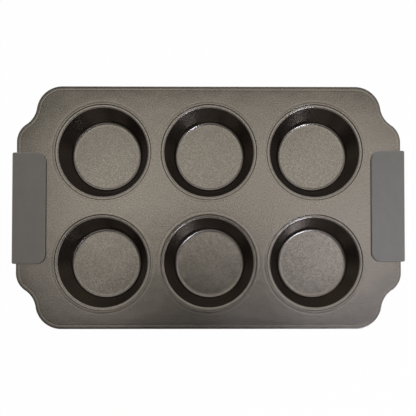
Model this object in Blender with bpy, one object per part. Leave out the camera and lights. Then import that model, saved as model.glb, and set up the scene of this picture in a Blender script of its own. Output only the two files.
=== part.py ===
"""Six-cup muffin pan in metres, +Z up. It stands on its cup floors at z = 0, with its grips at -X and +X.

The pan is one pressed steel sheet with a rolled rim. A silicone sleeve is pushed over the rim of each end tab.
"""

import math

import bmesh
import bpy
from mathutils import Vector

# Sheet metal
SHEET = 0.0006  # thickness of the coated steel
RIM_RADIUS = 0.0023  # outside radius of the rolled rim
RIM_TURN = 270  # degrees that the edge is rolled through, so it ends below the sheet

# Cups, measured on the inside
CUP_COLUMNS = 3
CUP_ROWS = 2
CUP_PITCH_X = 0.0817
CUP_PITCH_Y = 0.0853
CUP_MOUTH_RADIUS = 0.0348  # where the wall's line meets the deck
CUP_FLOOR_RADIUS = 0.0274  # where the wall's line meets the floor
CUP_DEPTH = 0.0300
CUP_FLOOR_FILLET = 0.0025
LIP_DROP = 0.00045  # the lip lies this far below the deck
LIP_STEP = 0.0004  # width of the sloping step down to the lip
LIP_LAND = 0.0012  # flat width between the step and the bend
LIP_BEND = 0.0012  # outside radius where the sheet turns down into the cup

# Plan outline, from the outer cups outwards
SIDE_BORDER = 0.0161  # from the cups to the long edges
END_BORDER = 0.0164  # from the cups to the ends of the body
BODY_CORNER = 0.0199  # radius of the body's four corners
HOLLOW = 0.0184  # radius of the hollow between a body corner and a tab
TAB_CORNER = 0.0161  # radius of a tab's two corners
TAB_SHOULDER = 0.0069  # straight rim left bare past the end of a grip

# Silicone grips
GRIP_LENGTH = 0.0855
GRIP_REACH = 0.0222  # how far a flap reaches in from the tab's edge
GRIP_FLAP = 0.0028  # thickness of the upper and the lower flap
GRIP_FOLD = 0.0024  # thickness of the wall outside the rim
GRIP_CORNER = 0.0073  # plan radius of the flaps' inner corners
GRIP_ROUNDING = 0.0007
GRIP_TO_CUP = 0.0092  # bare deck between a flap and the cups
GRIP_OFFSET = 0.0009  # the sleeves are moulded this far off centre, so they sit staggered
FIT_CLEARANCE = 0.0003  # between a sleeve and the sheet or the rim that it holds

# Smoothness of the curves
CUP_SIDES = 36
BEND_STEPS = 2
RIM_STEPS = 6
DEGREES_PER_OUTLINE_STEP = 8.5
GRIP_CORNER_STEPS = 6
GRIP_ROUNDING_STEPS = 2

# Places that follow from the sizes above
DECK_TOP = SHEET + CUP_DEPTH
CUP_FIELD_X = (CUP_COLUMNS - 1) / 2 * CUP_PITCH_X + CUP_MOUTH_RADIUS
CUP_FIELD_Y = (CUP_ROWS - 1) / 2 * CUP_PITCH_Y + CUP_MOUTH_RADIUS
BODY_END = CUP_FIELD_X + END_BORDER
BODY_SIDE = CUP_FIELD_Y + SIDE_BORDER
TAB_EDGE = CUP_FIELD_X + GRIP_TO_CUP + GRIP_REACH
TAB_HALF = GRIP_LENGTH / 2 + GRIP_OFFSET + TAB_SHOULDER
WALL_SLOPE = (CUP_MOUTH_RADIUS - CUP_FLOOR_RADIUS) / CUP_DEPTH


def clear_scene():
    """Empties the file, so that the script starts from nothing."""
    for obj in list(bpy.data.objects):
        bpy.data.objects.remove(obj)


def surface_material(name, colour, metallic, roughness):
    """A Principled material of one linear colour."""
    material = bpy.data.materials.new(name)
    material.use_nodes = True
    shader = material.node_tree.nodes["Principled BSDF"]
    shader.inputs["Base Color"].default_value = (*colour, 1.0)
    shader.inputs["Metallic"].default_value = metallic
    shader.inputs["Roughness"].default_value = roughness
    return material


def add_object(name, mesh, material, parent, sharp_degrees):
    """Places a mesh in the scene under its parent, shaded smooth away from its sharp edges."""
    mesh.shade_smooth()
    mesh.set_sharp_from_angle(angle=math.radians(sharp_degrees))
    mesh.materials.append(material)
    obj = bpy.data.objects.new(name, mesh)
    obj.parent = parent
    bpy.context.scene.collection.objects.link(obj)
    return obj


def arc(centre, radius, start, end):
    """Points and outward directions along an arc that turns from the start to the end angle, in radians."""
    steps = max(2, math.ceil(math.degrees(abs(end - start)) / DEGREES_PER_OUTLINE_STEP))
    angles = [start + (end - start) * step / steps for step in range(steps + 1)]
    directions = [Vector((math.cos(angle), math.sin(angle))) for angle in angles]
    return [(centre + radius * direction, direction) for direction in directions]


def quarter_outline():
    """The outermost line of the rim in the +X +Y quarter, from the long side round to the tab's edge.

    A convex body corner, a hollow and a convex tab corner touch each other without a kink.
    """
    body_centre = Vector((BODY_END - BODY_CORNER, BODY_SIDE - BODY_CORNER))
    tab_centre = Vector((TAB_EDGE - TAB_CORNER, TAB_HALF))
    between = tab_centre - body_centre
    to_body = BODY_CORNER + HOLLOW
    to_tab = TAB_CORNER + HOLLOW
    along = (to_body**2 - to_tab**2 + between.length_squared) / (2 * between.length)
    across = math.sqrt(to_body**2 - along**2)
    unit = between.normalized()
    hollow_centre = body_centre + unit * along + Vector((-unit.y, unit.x)) * across

    body_end_angle = angle_of(hollow_centre - body_centre)
    tab_start_angle = angle_of(hollow_centre - tab_centre)
    body = arc(body_centre, BODY_CORNER, math.pi / 2, body_end_angle)
    hollow = arc(hollow_centre, HOLLOW, body_end_angle + math.pi, tab_start_angle + math.pi)
    tab = arc(tab_centre, TAB_CORNER, tab_start_angle, 0.0)
    inward = [(point, -direction) for point, direction in hollow]
    return body + inward[1:-1] + tab


def angle_of(vector):
    """The direction of a plan vector, in radians from +X."""
    return math.atan2(vector.y, vector.x)


def full_outline():
    """The rim's outermost line all the way round, as points with outward directions."""
    outline = []
    for flip_x, flip_y in ((1, 1), (1, -1), (-1, -1), (-1, 1)):
        quarter = [
            (Vector((point.x * flip_x, point.y * flip_y)), Vector((out.x * flip_x, out.y * flip_y)))
            for point, out in quarter_outline()
        ]
        outline += quarter if flip_x * flip_y > 0 else quarter[::-1]
    return outline


def rim_section():
    """The rolled rim's outside, as pairs of inset from the outline and depth below the deck."""
    turns = [math.radians(RIM_TURN) * step / RIM_STEPS for step in range(RIM_STEPS + 1)]
    return [(RIM_RADIUS * (1 - math.sin(turn)), RIM_RADIUS * (1 - math.cos(turn))) for turn in turns]


def rounded_corner(before, corner, after, radius):
    """Points of the arc that rounds the corner of three section points."""
    back = (before - corner).normalized()
    ahead = (after - corner).normalized()
    half = math.acos(back.dot(ahead)) / 2
    start = corner + back * (radius / math.tan(half))
    end = corner + ahead * (radius / math.tan(half))
    centre = corner + (back + ahead).normalized() * (radius / math.sin(half))
    turn = math.pi - 2 * half
    first, last = start - centre, end - centre
    points = []
    for step in range(BEND_STEPS + 1):
        share = step / BEND_STEPS
        weight_first = math.sin((1 - share) * turn) / math.sin(turn)
        weight_last = math.sin(share * turn) / math.sin(turn)
        points.append(centre + first * weight_first + last * weight_last)
    return points


def cup_section():
    """The inside of a cup from the deck to the floor's edge, as radius and depth below the deck."""
    lip_corner = Vector((CUP_MOUTH_RADIUS - WALL_SLOPE * LIP_DROP, LIP_DROP))
    floor_corner = Vector((CUP_FLOOR_RADIUS, CUP_DEPTH))
    floor_centre = Vector((0.0, CUP_DEPTH))
    beyond_lip = lip_corner + Vector((LIP_BEND, 0.0))
    lip = rounded_corner(beyond_lip, lip_corner, floor_corner, LIP_BEND)
    floor = rounded_corner(lip_corner, floor_corner, floor_centre, CUP_FLOOR_FILLET)
    step_foot = lip[0] + Vector((LIP_LAND, 0.0))
    step_top = step_foot + Vector((LIP_STEP, -LIP_DROP))
    return [step_top, step_foot, *lip, *floor]


def cup_centres():
    """Plan positions of the cups' axes."""
    return [
        ((column - (CUP_COLUMNS - 1) / 2) * CUP_PITCH_X, (row - (CUP_ROWS - 1) / 2) * CUP_PITCH_Y)
        for row in range(CUP_ROWS)
        for column in range(CUP_COLUMNS)
    ]


def bridge(mesh, upper, lower):
    """Joins two loops of equally many vertices with a band of four-sided faces."""
    for index in range(len(upper)):
        after = (index + 1) % len(upper)
        mesh.faces.new((upper[index], upper[after], lower[after], lower[index]))


def add_cup(mesh, centre_x, centre_y):
    """Lofts one cup's skin and closes its floor. Returns the loop that meets the deck."""
    loops = []
    for point in cup_section():
        radius, depth = point
        turns = [math.tau * side / CUP_SIDES for side in range(CUP_SIDES)]
        loops.append(
            [
                mesh.verts.new(
                    (centre_x + radius * math.cos(turn), centre_y + radius * math.sin(turn), DECK_TOP - depth)
                )
                for turn in turns
            ]
        )
    for upper, lower in zip(loops, loops[1:]):
        bridge(mesh, upper, lower)
    mesh.faces.new(loops[-1])
    return loops[0]


def add_rim(mesh):
    """Lofts the rolled rim's skin. Returns the loop that meets the deck."""
    outline = full_outline()
    loops = []
    for inset, depth in rim_section():
        loops.append(
            [
                mesh.verts.new((*(point - out * inset), DECK_TOP - depth))
                for point, out in outline
            ]
        )
    for inner, outer in zip(loops, loops[1:]):
        bridge(mesh, inner, outer)
    return loops[0]


def loop_edges(loop):
    """The edges between neighbouring vertices of a closed loop."""
    pairs = zip(loop, loop[1:] + loop[:1])
    wanted = [set(pair) for pair in pairs]
    return [edge for vertex, pair in zip(loop, wanted) for edge in vertex.link_edges if set(edge.verts) == pair]


def pan_mesh():
    """The upper skin of the pan: a flat deck between the rim and the cups."""
    mesh = bmesh.new()
    edges = loop_edges(add_rim(mesh))
    for centre_x, centre_y in cup_centres():
        edges += loop_edges(add_cup(mesh, centre_x, centre_y))
    deck = bmesh.ops.triangle_fill(mesh, edges=edges, use_beauty=True, normal=(0.0, 0.0, 1.0))
    bmesh.ops.recalc_face_normals(mesh, faces=mesh.faces[:])
    deck_face = next(item for item in deck["geom"] if isinstance(item, bmesh.types.BMFace))
    if deck_face.normal.z < 0:
        bmesh.ops.reverse_faces(mesh, faces=mesh.faces[:])
    data = bpy.data.meshes.new("pan_sheet")
    mesh.to_mesh(data)
    mesh.free()
    return data


def make_pan(parent, material):
    """The pressed sheet: its skin given the sheet's thickness downwards."""
    pan = add_object("pan_sheet", pan_mesh(), material, parent, sharp_degrees=50)
    thickness = pan.modifiers.new("sheet thickness", "SOLIDIFY")
    thickness.thickness = SHEET
    thickness.offset = -1.0
    thickness.use_even_offset = True
    return pan


def grip_section():
    """The sleeve's cross-section in x and z. x = 0 is the tab's edge and z = 0 the deck."""
    mouth = -GRIP_REACH
    outside = FIT_CLEARANCE + GRIP_FOLD
    channel_top = FIT_CLEARANCE
    channel_bottom = -2 * RIM_RADIUS - FIT_CLEARANCE
    top = channel_top + GRIP_FLAP
    bottom = channel_bottom - GRIP_FLAP
    return [
        (mouth, top),
        (mouth, channel_top),
        (FIT_CLEARANCE, channel_top),
        (FIT_CLEARANCE, channel_bottom),
        (mouth, channel_bottom),
        (mouth, bottom),
        (outside, bottom),
        (outside, top),
    ]


def grip_mesh():
    """The folded sleeve, with round inner corners in plan and softened outer edges."""
    section = grip_section()
    mouth = min(x for x, z in section)
    outside = max(x for x, z in section)
    top = max(z for x, z in section)
    bottom = min(z for x, z in section)
    mesh = bmesh.new()
    near = mesh.faces.new([mesh.verts.new((x, -GRIP_LENGTH / 2, z)) for x, z in section])
    swept = bmesh.ops.extrude_face_region(mesh, geom=[near])
    moved = [item for item in swept["geom"] if isinstance(item, bmesh.types.BMVert)]
    bmesh.ops.translate(mesh, verts=moved, vec=(0.0, GRIP_LENGTH, 0.0))

    def lies_at(edge, axis, value):
        return all(math.isclose(vertex.co[axis], value, abs_tol=1e-6) for vertex in edge.verts)

    def upright(edge):
        return abs(edge.verts[0].co.z - edge.verts[1].co.z) > 1e-6

    inner_corners = [edge for edge in mesh.edges if lies_at(edge, 0, mouth) and upright(edge)]
    bmesh.ops.bevel(
        mesh, geom=inner_corners, offset=GRIP_CORNER, segments=GRIP_CORNER_STEPS, profile=0.5, affect="EDGES"
    )
    softened = [
        edge
        for edge in mesh.edges
        if lies_at(edge, 2, top) or lies_at(edge, 2, bottom) or (lies_at(edge, 0, outside) and upright(edge))
    ]
    bmesh.ops.bevel(
        mesh, geom=softened, offset=GRIP_ROUNDING, segments=GRIP_ROUNDING_STEPS, profile=0.5, affect="EDGES"
    )
    bmesh.ops.recalc_face_normals(mesh, faces=mesh.faces[:])
    data = bpy.data.meshes.new("grip")
    mesh.to_mesh(data)
    mesh.free()
    return data


def make_grips(parent, material):
    """Two like sleeves, one turned half round from the other, each with its origin at its tab's edge."""
    for name, side in (("left_grip", -1), ("right_grip", 1)):
        grip = add_object(name, grip_mesh(), material, parent, sharp_degrees=35)
        grip.location = (side * TAB_EDGE, side * GRIP_OFFSET, DECK_TOP)
        grip.rotation_euler = (0.0, 0.0, 0.0 if side > 0 else math.pi)


def main():
    """Builds the pan and its grips under one empty."""
    clear_scene()
    steel = surface_material("nonstick_coated_steel", (0.125, 0.115, 0.098), metallic=0.85, roughness=0.38)
    silicone = surface_material("grey_silicone", (0.165, 0.160, 0.148), metallic=0.0, roughness=0.62)
    muffin_pan = bpy.data.objects.new("muffin_pan", None)
    bpy.context.scene.collection.objects.link(muffin_pan)
    make_pan(muffin_pan, steel)
    make_grips(muffin_pan, silicone)


main()
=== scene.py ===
import math

import bmesh
import bpy
from mathutils import Matrix, Vector


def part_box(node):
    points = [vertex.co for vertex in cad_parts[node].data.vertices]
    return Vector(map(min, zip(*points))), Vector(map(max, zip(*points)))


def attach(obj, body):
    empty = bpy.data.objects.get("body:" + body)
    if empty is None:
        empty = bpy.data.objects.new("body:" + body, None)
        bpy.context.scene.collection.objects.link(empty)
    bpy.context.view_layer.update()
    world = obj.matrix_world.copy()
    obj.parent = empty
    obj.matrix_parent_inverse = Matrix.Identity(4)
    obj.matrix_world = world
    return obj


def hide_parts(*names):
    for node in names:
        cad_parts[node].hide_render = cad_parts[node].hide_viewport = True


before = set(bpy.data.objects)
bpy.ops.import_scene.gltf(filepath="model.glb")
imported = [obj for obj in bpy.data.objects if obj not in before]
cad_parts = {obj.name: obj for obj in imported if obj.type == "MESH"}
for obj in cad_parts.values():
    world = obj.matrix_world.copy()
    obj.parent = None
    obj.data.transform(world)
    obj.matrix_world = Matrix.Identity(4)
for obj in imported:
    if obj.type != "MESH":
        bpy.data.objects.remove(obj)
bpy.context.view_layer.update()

print("frame loaded:", ", ".join(sorted(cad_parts)))


# Helpers

def hexToLinear(hexColour):
    channels = [int(hexColour[start:start + 2], 16) / 255 for start in (1, 3, 5)]
    linear = [c / 12.92 if c <= 0.04045 else ((c + 0.055) / 1.055) ** 2.4 for c in channels]
    return (*linear, 1.0)


def addNode(tree, kind, settings=None, **inputs):
    # each input is a value or another node's output
    # in an input's name an underscore stands for a space, and _0 or _1 is a socket's number
    node = tree.nodes.new(kind)
    for name, value in (settings or {}).items():
        setattr(node, name, value)
    for name, value in inputs.items():
        number = name[1:]
        socket = node.inputs[int(number) if number.isdigit() else name.replace("_", " ")]
        if isinstance(value, bpy.types.NodeSocket):
            tree.links.new(value, socket)
        else:
            socket.default_value = value
    return node


def calculate(tree, operation, *values):
    inputs = {f"_{number}": value for number, value in enumerate(values)}
    return addNode(tree, "ShaderNodeMath", {"operation": operation}, **inputs).outputs[0]


def noiseFor(tree, coords, size, detail, **inputs):
    # noise whose features are about this many metres across
    noise = addNode(tree, "ShaderNodeTexNoise", Vector=coords, Scale=1 / size, Detail=detail, **inputs)
    return noise.outputs["Fac"]


def spread(tree, noise, low, high):
    # noise lies mostly between 0.3 and 0.7
    return addNode(
        tree, "ShaderNodeMapRange", Value=noise, From_Min=0.3, From_Max=0.7, To_Min=low, To_Max=high
    ).outputs[0]


def blend(tree, share, dark, pale):
    return addNode(
        tree, "ShaderNodeMix", {"data_type": "RGBA"}, _0=share, _6=hexToLinear(dark), _7=hexToLinear(pale)
    ).outputs[2]


def link(obj):
    bpy.context.scene.collection.objects.link(obj)
    return obj


def newMaterial(name):
    material = bpy.data.materials.new(name)
    material.use_nodes = True
    material.node_tree.nodes.clear()
    return material, material.node_tree


# Materials

grainLook = {
    "pale": "#88817A",  # where the flakes lie flat and catch the light
    "dark": "#746D65",
    "grainSize": 0.0009,  # the real flakes are under 0.1 mm, drawn as coarse as they need to show
    "flakes": (0.36, 0.66),  # the noise between which a flake turns from dark to pale
    "cloudSize": 0.060,  # faint unevenness of the sprayed film
    "cloudShare": 0.5,  # how far it shifts the flakes' colour
    "roughness": (0.20, 0.25),
    "edgeTint": "#7A7674",
    "coat": 0.35,  # the clear fluoropolymer over the flakes
    "coatRoughness": 0.22,
    "coatIndex": 1.38,
    "grainDepth": 0.00002,
    "wavinessDepth": 0.0005,
}


def nonstickCoating():
    # Non-stick coating sprayed on steel: graphite-champagne metallic film, fine flakes and a satin gloss
    look = grainLook
    material, tree = newMaterial("nonstickCoatingOnSteel")
    coords = addNode(tree, "ShaderNodeTexCoord").outputs["Object"]
    grain = noiseFor(tree, coords, look["grainSize"], 2.0, Roughness=0.6)
    cloud = noiseFor(tree, coords, look["cloudSize"], 3.0)
    darkest, palest = look["flakes"]
    speckle = addNode(
        tree, "ShaderNodeMapRange", {"interpolation_type": "SMOOTHSTEP"}, Value=grain,
        From_Min=darkest, From_Max=palest,
    ).outputs[0]
    mottle = calculate(tree, "MULTIPLY_ADD", cloud, look["cloudShare"], -look["cloudShare"] / 2)
    colour = blend(tree, calculate(tree, "ADD", speckle, mottle), look["dark"], look["pale"])
    waves = addNode(tree, "ShaderNodeBump", Height=cloud, Distance=look["wavinessDepth"], Strength=1.0)
    bump = addNode(
        tree, "ShaderNodeBump", Height=grain, Distance=look["grainDepth"], Strength=1.0,
        Normal=waves.outputs[0],
    )
    rough = spread(tree, cloud, *look["roughness"])
    shader = addNode(
        tree, "ShaderNodeBsdfPrincipled", Base_Color=colour, Roughness=rough, Metallic=1.0,
        Specular_Tint=hexToLinear(look["edgeTint"]), Normal=bump.outputs[0], Coat_Weight=look["coat"],
        Coat_Roughness=look["coatRoughness"], Coat_IOR=look["coatIndex"],
    )
    addNode(tree, "ShaderNodeOutputMaterial", Surface=shader.outputs[0])
    return material


siliconeLook = {
    "pale": "#7E7A74",
    "dark": "#726E68",
    "mottleSize": 0.007,
    "matteGrain": 0.0005,  # texture that the mould leaves
    "grainDepth": 0.00004,
    "roughness": (0.50, 0.62),
    "index": 1.41,
    "sheen": 0.06,
    "sheenRoughness": 0.5,
}


def mouldedSilicone():
    # Moulded silicone rubber: matt warm grey, with a soft sheen and a faint bloom
    look = siliconeLook
    material, tree = newMaterial("mouldedGreySilicone")
    coords = addNode(tree, "ShaderNodeTexCoord").outputs["Object"]
    mottle = noiseFor(tree, coords, look["mottleSize"], 4.0)
    grain = noiseFor(tree, coords, look["matteGrain"], 2.0)
    bump = addNode(tree, "ShaderNodeBump", Height=grain, Distance=look["grainDepth"], Strength=1.0)
    shader = addNode(
        tree, "ShaderNodeBsdfPrincipled", Base_Color=blend(tree, mottle, look["dark"], look["pale"]),
        Roughness=spread(tree, mottle, *look["roughness"]), IOR=look["index"], Sheen_Weight=look["sheen"],
        Sheen_Roughness=look["sheenRoughness"], Normal=bump.outputs[0],
    )
    addNode(tree, "ShaderNodeOutputMaterial", Surface=shader.outputs[0])
    return material


coating = nonstickCoating()
silicone = mouldedSilicone()
print("materials ready")


# Pan: one pressed sheet

panLow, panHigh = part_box("pan_sheet")
pan = {
    "sheet": 0.0006,
    "rimRadius": 0.0023,
    "rimSweep": 270,  # degrees that the edge is rolled through
    "rimSteps": 24,
    "rimBend": 0.0006,  # the tight bend at the pan's edge, before the sheet turns down and under
    "rimGroove": (0.0024, 0.0036, 0.00002),  # a shallow groove where the roll starts: from, to, depth
    "grooveSteps": 8,
    "columns": 3,
    "rows": 2,
    "pitchX": 0.0817,
    "pitchY": 0.0853,
    "mouthRadius": 0.0348,
    "floorRadius": 0.0274,
    "depth": 0.0300,
    "lipBend": 0.0012,
    "lipDrop": 0.00105,
    "lipStep": (0.03665, 0.03722),  # radii of the step's foot and top
    "stepRounding": 0.2,  # as a share of the step's width
    "ringRadius": 0.0392,  # a faint ring that the press leaves round each cup
    "ringWidth": 0.0022,
    "ringDepth": 0.00003,
    "ringRounding": 0.6,  # as a share of half the ring's width
    "floorFillet": 0.0025,
    "cupSides": 96,
    "bendSteps": 8,
    "bodyCorner": 0.0199,
    "hollow": 0.0184,
    "tabCorner": 0.0161,
    "tabHalf": 0.05055,  # straight half length of a tab's edge
    "endBorder": 0.0164,
    "arcStep": 3.0,  # degrees between the outline's points
    "seam": 0.00001,  # edges closer than this are sewn together
    "deckTop": panHigh.z,
}


def arcPoints(centre, radius, start, end):
    count = max(2, math.ceil(math.degrees(abs(end - start)) / pan["arcStep"]))
    angles = [start + (end - start) * step / count for step in range(count + 1)]
    return [centre + radius * Vector((math.cos(angle), math.sin(angle))) for angle in angles]


def heading(vector):
    return math.atan2(vector.y, vector.x)


def quarterOutline():
    # a convex body corner, a hollow and a convex tab corner, each touching the next
    bodyEnd = (pan["columns"] - 1) / 2 * pan["pitchX"] + pan["mouthRadius"] + pan["endBorder"]
    bodyCentre = Vector((bodyEnd - pan["bodyCorner"], panHigh.y - pan["bodyCorner"]))
    tabCentre = Vector((panHigh.x - pan["tabCorner"], pan["tabHalf"]))
    between = tabCentre - bodyCentre
    toBody = pan["bodyCorner"] + pan["hollow"]
    toTab = pan["tabCorner"] + pan["hollow"]
    along = (toBody**2 - toTab**2 + between.length_squared) / (2 * between.length)
    across = math.sqrt(toBody**2 - along**2)
    unit = between.normalized()
    hollowCentre = bodyCentre + unit * along + Vector((-unit.y, unit.x)) * across
    leaveBody = heading(hollowCentre - bodyCentre)
    reachTab = heading(hollowCentre - tabCentre)
    body = arcPoints(bodyCentre, pan["bodyCorner"], math.pi / 2, leaveBody)
    hollow = arcPoints(hollowCentre, pan["hollow"], leaveBody + math.pi, reachTab + math.pi)
    tab = arcPoints(tabCentre, pan["tabCorner"], reachTab, 0.0)
    return body + hollow[1:-1] + tab


def outlinePoints():
    # the whole outline, anticlockwise seen from above
    points = []
    for flipX, flipY in ((1, 1), (-1, 1), (-1, -1), (1, -1)):
        quarter = [(point.x * flipX, point.y * flipY, 1.0) for point in quarterOutline()]
        points += quarter[::-1] if flipX * flipY > 0 else quarter
    return points


def cupSection():
    # corners of a cup's inside from the deck to the floor: radius past the mouth, depth, rounding
    mouth = pan["mouthRadius"]
    drop = pan["lipDrop"]
    slope = (mouth - pan["floorRadius"]) / pan["depth"]
    ring = pan["ringRadius"] - mouth
    ringHalf = pan["ringWidth"] / 2
    stepFoot, stepTop = pan["lipStep"]
    stepBend = (stepTop - stepFoot) * pan["stepRounding"]
    ringBend = ringHalf * pan["ringRounding"]
    return [
        (ring + ringHalf * 1.15, 0.0, 0.0),
        (ring + ringHalf, 0.0, ringHalf * 0.15),
        (ring, pan["ringDepth"], ringBend),
        (ring - ringHalf, 0.0, ringBend),
        (stepTop - mouth, 0.0, stepBend),
        (stepFoot - mouth, drop, stepBend),
        (-slope * drop, drop, pan["lipBend"]),
        (pan["floorRadius"] - mouth, pan["depth"], pan["floorFillet"]),
        (pan["floorRadius"] - pan["floorFillet"] * 1.3 - mouth, pan["depth"], 0.0),
    ]


def rimSection():
    # the rim from the deck outwards, as distance past the outline and depth: the groove, then the roll
    inner, outer, groove = pan["rimGroove"]
    points = []
    for step in range(pan["grooveSteps"]):
        share = step / pan["grooveSteps"]
        depth = groove * (1 - math.cos(math.tau * share)) / 2
        points.append((-inner * share - outer * (1 - share), depth, 0.0))
    steps = pan["rimSteps"]
    square = steps * 90 // pan["rimSweep"]  # the step at which the sheet stands upright
    for radius, first, last in ((pan["rimBend"], 0, square), (pan["rimRadius"], square, steps)):
        for step in range(first, last + 1):
            turn = math.radians(pan["rimSweep"] * step / steps)
            points.append((radius * (math.sin(turn) - 1), radius * (1 - math.cos(turn)), 0.0))
    return points


def curveObject(name, points, closed=False):
    # each point is x, y and the rounding of the corner there
    data = bpy.data.curves.new(name, "CURVE")
    data.dimensions = "3D"
    spline = data.splines.new("POLY")
    spline.points.add(len(points) - 1)
    for target, (x, y, rounding) in zip(spline.points, points):
        target.co = (x, y, 0.0, 1.0)
        target.radius = rounding
    spline.use_cyclic_u = closed
    return link(bpy.data.objects.new(name, data))


def panTree():
    # the rim is swept along the outline, each cup is turned from one section, and the deck lies between
    tree = bpy.data.node_groups.new("pressedPan", "GeometryNodeTree")
    tree.interface.new_socket("Geometry", in_out="OUTPUT", socket_type="NodeSocketGeometry")
    tree.interface.new_socket("Outline", in_out="INPUT", socket_type="NodeSocketGeometry")
    kinds = {
        "Object": ("Cup Section", "Rim Section"),
        "Material": ("Material",),
        "Int": ("Columns", "Rows", "Cup Sides", "Bend Steps"),
        "Float": (
            "Pitch X", "Pitch Y", "Mouth Radius", "Ring Radius", "Floor Radius", "Depth", "Rim Width", "Seam",
        ),
    }
    for kind, names in kinds.items():
        for name in names:
            tree.interface.new_socket(name, in_out="INPUT", socket_type="NodeSocket" + kind)
    given = addNode(tree, "NodeGroupInput").outputs
    up = {"mode": "Z_UP"}

    outline = addNode(tree, "GeometryNodeSetCurveNormal", up, Curve=given["Outline"]).outputs[0]
    rimCurve = addNode(tree, "GeometryNodeObjectInfo", Object=given["Rim Section"]).outputs["Geometry"]
    rim = addNode(tree, "GeometryNodeCurveToMesh", Curve=outline, Profile_Curve=rimCurve).outputs[0]

    inward = calculate(tree, "MULTIPLY", given["Rim Width"], -1.0)
    across = addNode(tree, "GeometryNodeInputNormal").outputs[0]
    scale = {"operation": "SCALE"}
    step = addNode(tree, "ShaderNodeVectorMath", scale, Vector=across, Scale=inward).outputs[0]
    deckEdge = addNode(tree, "GeometryNodeSetPosition", Geometry=outline, Offset=step).outputs[0]

    gaps = []
    for count, pitch in (("Columns", "Pitch X"), ("Rows", "Pitch Y")):
        spaces = calculate(tree, "SUBTRACT", given[count], 1.0)
        gaps.append(calculate(tree, "MULTIPLY", spaces, given[pitch]))
    grid = addNode(
        tree, "GeometryNodeMeshGrid", Size_X=gaps[0], Size_Y=gaps[1], Vertices_X=given["Columns"],
        Vertices_Y=given["Rows"],
    ).outputs[0]

    def circle(radius):
        return addNode(
            tree, "GeometryNodeCurvePrimitiveCircle", {"mode": "RADIUS"}, Resolution=given["Cup Sides"],
            Radius=given[radius],
        ).outputs[0]

    pathUp = addNode(tree, "GeometryNodeSetCurveNormal", up, Curve=circle("Mouth Radius")).outputs[0]
    section = addNode(tree, "GeometryNodeObjectInfo", Object=given["Cup Section"]).outputs["Geometry"]
    rounding = addNode(tree, "GeometryNodeInputRadius").outputs[0]
    rounded = addNode(
        tree, "GeometryNodeFilletCurve", {"mode": "POLY"}, Curve=section, Count=given["Bend Steps"],
        Radius=rounding, Limit_Radius=True,
    ).outputs[0]
    wall = addNode(tree, "GeometryNodeCurveToMesh", Curve=pathUp, Profile_Curve=rounded).outputs[0]
    floorEdge = circle("Floor Radius")
    floorFace = addNode(tree, "GeometryNodeFillCurve", {"mode": "NGONS"}, Curve=floorEdge).outputs[0]
    depth = calculate(tree, "MULTIPLY", given["Depth"], -1.0)
    sink = addNode(tree, "ShaderNodeCombineXYZ", Z=depth).outputs[0]
    floorDown = addNode(tree, "GeometryNodeTransform", Geometry=floorFace, Translation=sink).outputs[0]
    cup = addNode(tree, "GeometryNodeJoinGeometry")
    for part in (wall, floorDown):
        tree.links.new(part, cup.inputs[0])
    cups = addNode(tree, "GeometryNodeInstanceOnPoints", Points=grid, Instance=cup.outputs[0]).outputs[0]

    ring = circle("Ring Radius")
    rings = addNode(tree, "GeometryNodeInstanceOnPoints", Points=grid, Instance=ring).outputs[0]
    realRings = addNode(tree, "GeometryNodeRealizeInstances", Geometry=rings).outputs[0]
    edges = addNode(tree, "GeometryNodeJoinGeometry")
    for part in (deckEdge, realRings):
        tree.links.new(part, edges.inputs[0])
    deck = addNode(tree, "GeometryNodeFillCurve", {"mode": "TRIANGLES"}, Curve=edges.outputs[0]).outputs[0]

    whole = addNode(tree, "GeometryNodeJoinGeometry")
    for part in (deck, cups, rim):
        tree.links.new(part, whole.inputs[0])
    real = addNode(tree, "GeometryNodeRealizeInstances", Geometry=whole.outputs[0]).outputs[0]
    sewn = addNode(tree, "GeometryNodeMergeByDistance", Geometry=real, Distance=given["Seam"]).outputs[0]
    painted = addNode(tree, "GeometryNodeSetMaterial", Geometry=sewn, Material=given["Material"]).outputs[0]
    tree.links.new(painted, addNode(tree, "NodeGroupOutput").inputs[0])
    return tree


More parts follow.
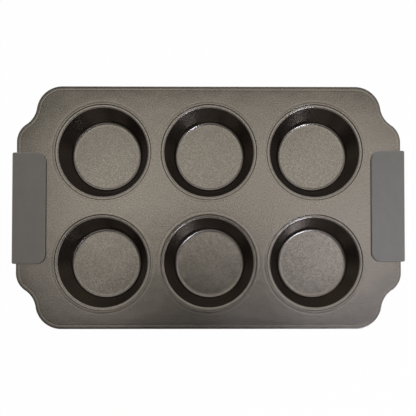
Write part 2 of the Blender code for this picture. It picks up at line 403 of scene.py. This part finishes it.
def growPan():
    section = cupSection()
    outline = curveObject("panOutline", outlinePoints(), closed=True)
    cupCurve = curveObject("cupSection", section)
    rimCurve = curveObject("rimSection", rimSection())
    modifier = outline.modifiers.new("pressedPan", "NODES")
    modifier.node_group = panTree()
    values = {
        "Cup Section": cupCurve, "Rim Section": rimCurve, "Material": coating,
        "Columns": pan["columns"], "Rows": pan["rows"],
        "Pitch X": pan["pitchX"], "Pitch Y": pan["pitchY"], "Mouth Radius": pan["mouthRadius"],
        "Ring Radius": pan["mouthRadius"] + section[0][0],
        "Floor Radius": pan["mouthRadius"] + section[-1][0],
        "Depth": pan["depth"], "Cup Sides": pan["cupSides"], "Bend Steps": pan["bendSteps"],
        "Rim Width": pan["rimGroove"][1], "Seam": pan["seam"],
    }
    for socket in modifier.node_group.interface.items_tree:
        if socket.in_out == "INPUT" and socket.name in values:
            modifier[socket.identifier] = values[socket.name]
    bpy.context.view_layer.update()
    graph = bpy.context.evaluated_depsgraph_get()
    mesh = bpy.data.meshes.new_from_object(outline.evaluated_get(graph), depsgraph=graph)
    for helper in (outline, cupCurve, rimCurve):
        bpy.data.objects.remove(helper)

    skin = bmesh.new()
    skin.from_mesh(mesh)
    bmesh.ops.remove_doubles(skin, verts=skin.verts, dist=pan["seam"] / 2)
    bmesh.ops.recalc_face_normals(skin, faces=skin.faces)
    largest = max(skin.faces, key=lambda face: face.calc_area())
    if largest.normal.z < 0:
        bmesh.ops.reverse_faces(skin, faces=skin.faces)
    bmesh.ops.translate(skin, verts=skin.verts, vec=(0, 0, pan["deckTop"]))
    openEdges = sum(1 for edge in skin.edges if len(edge.link_faces) == 1)
    skin.to_mesh(mesh)
    skin.free()
    print("pan skin:", len(mesh.polygons), "faces,", openEdges, "open edges at the end of the roll")

    mesh.name = "pressedSheet"
    mesh.shade_smooth()
    sheet = link(bpy.data.objects.new("pressedSheet", mesh))
    wall = sheet.modifiers.new("sheet", "SOLIDIFY")
    wall.thickness = pan["sheet"]
    wall.offset = -1.0
    wall.use_even_offset = True
    return sheet


pressedSheet = growPan()
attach(pressedSheet, "pan")
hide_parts("pan_sheet")
print("pan made")


# Grips: two silicone sleeves

grip = {
    "flap": 0.0028,
    "fold": 0.0024,
    "innerCorner": 0.0073,
    "foldCorner": 0.0013,  # seen from above
    "edgeRounding": 0.0009,
    "mouthRounding": 0.0018,  # the undercut below the mouth's edge
    "mouthForward": 0.0007,
    "cornerSteps": 14,
    "roundingSteps": 5,
    "mouthSteps": 4,
    "near": 0.000001,
    "sharpAngle": 40,
}


def gripMesh(name, side):
    low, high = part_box(name)
    deep = high.x - low.x - grip["fold"] + grip["mouthForward"]  # from the mouth to the inside of the fold
    middle = (high.y + low.y) / 2
    length = high.y - low.y
    mouth = -deep
    under = high.z - grip["flap"]
    over = low.z + grip["flap"]
    section = [
        (mouth, high.z), (mouth, under), (0, under), (0, over),
        (mouth, over), (mouth, low.z), (grip["fold"], low.z), (grip["fold"], high.z),
    ]
    mesh = bmesh.new()
    near = mesh.faces.new([mesh.verts.new((x, -length / 2, z)) for x, z in section])
    swept = bmesh.ops.extrude_face_region(mesh, geom=[near])
    moved = [item for item in swept["geom"] if isinstance(item, bmesh.types.BMVert)]
    bmesh.ops.translate(mesh, verts=moved, vec=(0, length, 0))

    def at(edge, axis, value):
        return all(abs(vertex.co[axis] - value) < grip["near"] for vertex in edge.verts)

    def upright(edge):
        return abs(edge.verts[0].co.z - edge.verts[1].co.z) > grip["near"]

    def roundOff(edges, radius, steps):
        bmesh.ops.bevel(mesh, geom=edges, offset=radius, segments=steps, profile=0.5, affect="EDGES")

    for along, radius in ((mouth, grip["innerCorner"]), (grip["fold"], grip["foldCorner"])):
        corners = [edge for edge in mesh.edges if at(edge, 0, along) and upright(edge)]
        roundOff(corners, radius, grip["cornerSteps"])
    outer = [edge for edge in mesh.edges if at(edge, 2, high.z) or at(edge, 2, low.z)]
    roundOff(outer, grip["edgeRounding"], grip["roundingSteps"])
    inner = [
        edge for edge in mesh.edges
        if (at(edge, 2, under) or at(edge, 2, over))
        and min(vertex.co.x for vertex in edge.verts) < -grip["near"] and edge.calc_face_angle(0) > 0.5
    ]
    roundOff(inner, grip["mouthRounding"], grip["mouthSteps"])
    turn = Matrix.Rotation(0 if side > 0 else math.pi, 4, "Z")
    outside = high.x if side > 0 else low.x
    place = Matrix.Translation((outside - side * grip["fold"], middle, 0))
    bmesh.ops.transform(mesh, matrix=place @ turn, verts=mesh.verts)
    bmesh.ops.recalc_face_normals(mesh, faces=mesh.faces)
    data = bpy.data.meshes.new(name)
    mesh.to_mesh(data)
    mesh.free()
    data.shade_smooth()
    data.set_sharp_from_angle(angle=math.radians(grip["sharpAngle"]))
    data.materials.append(silicone)
    return data


for node, piece, side in (("left_grip", "leftSleeve", -1), ("right_grip", "rightSleeve", 1)):
    sleeve = link(bpy.data.objects.new(piece, gripMesh(node, side)))
    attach(sleeve, node)
    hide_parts(node)
print("grips made")


# Stage

stageLook = {
    "floorColour": "#F4F3F1",
    "floorSize": 6.0,
    "floorDrop": 0.0001,
    "whiteShare": 0.985,  # the share that the camera sees as plain white; the rest keeps the shadow
    "fibreSize": 0.015,
    "fibreDepth": 0.00005,
}


def whiteRays(tree):
    # 1 for what the camera sees directly, in gloss or through glass, else 0
    path = addNode(tree, "ShaderNodeLightPath").outputs
    seen = calculate(tree, "MAXIMUM", path["Is Camera Ray"], path["Is Glossy Ray"])
    return calculate(tree, "MAXIMUM", seen, path["Is Transmission Ray"])


def makeFloor():
    # matt white paper
    material, tree = newMaterial("mattWhitePaper")
    coords = addNode(tree, "ShaderNodeTexCoord").outputs["Object"]
    fibre = noiseFor(tree, coords, stageLook["fibreSize"], 2.0)
    bump = addNode(tree, "ShaderNodeBump", Height=fibre, Distance=stageLook["fibreDepth"], Strength=0.3)
    paper = addNode(
        tree, "ShaderNodeBsdfPrincipled", Base_Color=hexToLinear(stageLook["floorColour"]), Roughness=0.9,
        Specular_IOR_Level=0.1, Normal=bump.outputs[0],
    )
    white = addNode(tree, "ShaderNodeEmission", Strength=1.0)
    share = calculate(tree, "MULTIPLY", whiteRays(tree), stageLook["whiteShare"])
    mixed = addNode(tree, "ShaderNodeMixShader", Fac=share, _1=paper.outputs[0], _2=white.outputs[0])
    addNode(tree, "ShaderNodeOutputMaterial", Surface=mixed.outputs[0])
    half = stageLook["floorSize"] / 2
    mesh = bpy.data.meshes.new("floor")
    sides = ((-half, -half), (half, -half), (half, half), (-half, half))
    mesh.from_pydata([(x, y, -stageLook["floorDrop"]) for x, y in sides], [], [(0, 1, 2, 3)])
    mesh.materials.append(material)
    floor = link(bpy.data.objects.new("floor", mesh))


tints = {"warm": "#FFFFF8", "plain": "#FFFFFF", "cool": "#FAF9FF", "cold": "#DCE8FF"}

lamps = {
    # name: where it hangs, what it points at, width and height, watts, tint
    "strip": ((0.05, 0.205, 1.50), (0.05, 0.205, 0.0), (0.91, 0.37), 1.36, "warm"),
    "overRight": ((0.26, 0.035, 1.50), (0.26, 0.035, 0.0), (0.24, 0.26), 0.47, "cool"),
    "stripRight": ((0.31, 0.16, 1.49), (0.31, 0.16, 0.0), (0.38, 0.20), 0.05, "plain"),
    "overFarRight": ((0.44, 0.00, 1.50), (0.44, 0.0, 0.0), (0.20, 0.50), 0.26, "cool"),
    "overLeft": ((-0.32, -0.04, 1.50), (-0.32, -0.04, 0.0), (0.26, 0.32), 0.16, "plain"),
    "front": ((0.0, -0.85, 0.80), (0.0, 0.0, 0.0), (0.60, 0.40), 0.50, "plain"),
    "left": ((-0.75, 0.15, 1.50), (0.0, 0.0, 0.0), (0.45, 1.30), 0.74, "warm"),
    "leftFront": ((-0.65, -0.75, 1.40), (0.0, 0.0, 0.0), (0.50, 0.50), 0.48, "plain"),
    "right": ((0.85, 0.15, 1.30), (0.0, 0.0, 0.0), (0.45, 1.00), 0.47, "cool"),
    "rightNear": ((0.70, -0.35, 0.50), (0.0, 0.0, 0.0), (0.30, 0.30), 0.30, "cool"),
}

snoot = {
    # a narrow lamp close to the cups on the right
    "place": (0.32, -0.37, 0.78),
    "target": (0.095, -0.030, 0.0),
    "cone": 16.0,
    "radius": 0.13,
    "watts": 28.0,
}


def aim(lamp, place, target):
    lamp.location = place
    lamp.rotation_euler = (Vector(target) - Vector(place)).to_track_quat("-Z", "Y").to_euler()


def makeLamps():
    for name, (place, target, size, watts, tint) in lamps.items():
        data = bpy.data.lights.new(name, "AREA")
        data.shape = "RECTANGLE"
        data.size, data.size_y = size
        data.energy = watts
        data.color = hexToLinear(tints[tint])[:3]
        aim(link(bpy.data.objects.new(name, data)), place, target)
    data = bpy.data.lights.new("snoot", "SPOT")
    data.spot_size = math.radians(snoot["cone"])
    data.spot_blend = 1.0
    data.shadow_soft_size = snoot["radius"]
    data.energy = snoot["watts"]
    data.color = hexToLinear(tints["cold"])[:3]
    aim(link(bpy.data.objects.new("snoot", data)), snoot["place"], snoot["target"])


worldLook = {
    # a pale room under an unlit ceiling, with a bright backdrop low down, behind and on the right
    "walls": 0.18,
    "wallsBack": 1.12,
    "around": 0.64,
    "backdrop": 0.72,
    "backdropRight": 0.76,
    "backdropTop": (0.25, 0.50),  # the direction's height where it starts to end, and ends
    "horizon": (0.08, 0.24),  # below this, metal and glass show the white that the camera sees
    "ceiling": (0.80, 0.94),  # where the ceiling starts, and is complete
}


def makeWorld():
    world = bpy.data.worlds.new("studio")
    bpy.context.scene.world = world
    world.use_nodes = True
    tree = world.node_tree
    tree.nodes.clear()

    def below(heights):
        # 1 under the first height, 0 over the second
        return addNode(
            tree, "ShaderNodeMapRange", {"interpolation_type": "SMOOTHSTEP"}, Value=parts["Z"],
            From_Min=heights[0], From_Max=heights[1], To_Min=1.0, To_Max=0.0,
        ).outputs[0]

    direction = addNode(tree, "ShaderNodeTexCoord").outputs["Generated"]
    parts = addNode(tree, "ShaderNodeSeparateXYZ", Vector=direction).outputs
    back = calculate(tree, "MAXIMUM", parts["Y"], 0.0)
    right = calculate(tree, "MAXIMUM", parts["X"], 0.0)
    upper = calculate(tree, "MULTIPLY_ADD", back, worldLook["wallsBack"], worldLook["walls"])
    lower = calculate(tree, "MULTIPLY_ADD", right, worldLook["backdropRight"], worldLook["around"])
    lower = calculate(tree, "MULTIPLY_ADD", back, worldLook["backdrop"], lower)
    low = below(worldLook["backdropTop"])
    room = addNode(tree, "ShaderNodeMix", _0=low, _2=upper, _3=lower).outputs[0]
    lit = calculate(tree, "MULTIPLY", room, below(worldLook["ceiling"]))
    camera = addNode(tree, "ShaderNodeLightPath").outputs["Is Camera Ray"]
    mirrored = calculate(tree, "MULTIPLY", whiteRays(tree), below(worldLook["horizon"]))
    white = calculate(tree, "MAXIMUM", camera, mirrored)
    strength = calculate(tree, "MAXIMUM", white, lit)
    light = addNode(tree, "ShaderNodeBackground", Color=(1.0, 1.0, 1.0, 1.0), Strength=strength)
    addNode(tree, "ShaderNodeOutputWorld", Surface=light.outputs[0])


cameraLook = {
    "place": (0.01309, -0.05244, 0.76508),  # above the middle of the deck
    "turn": (0.0369, -0.0127, 0.0),
    "lens": 86.13,
    "shift": (-0.0733, 0.0737),
}


def makeCamera():
    data = bpy.data.cameras.new("camera")
    data.sensor_width = 36.0
    data.lens = cameraLook["lens"]
    data.shift_x, data.shift_y = cameraLook["shift"]
    camera = link(bpy.data.objects.new("camera", data))
    x, y, z = cameraLook["place"]
    camera.location = (x, y, z + pan["deckTop"])
    camera.rotation_euler = cameraLook["turn"]
    bpy.context.scene.camera = camera


makeFloor()
makeLamps()
makeWorld()
makeCamera()
bpy.context.scene.view_settings.view_transform = "Standard"
print("stage, lamps and camera ready")
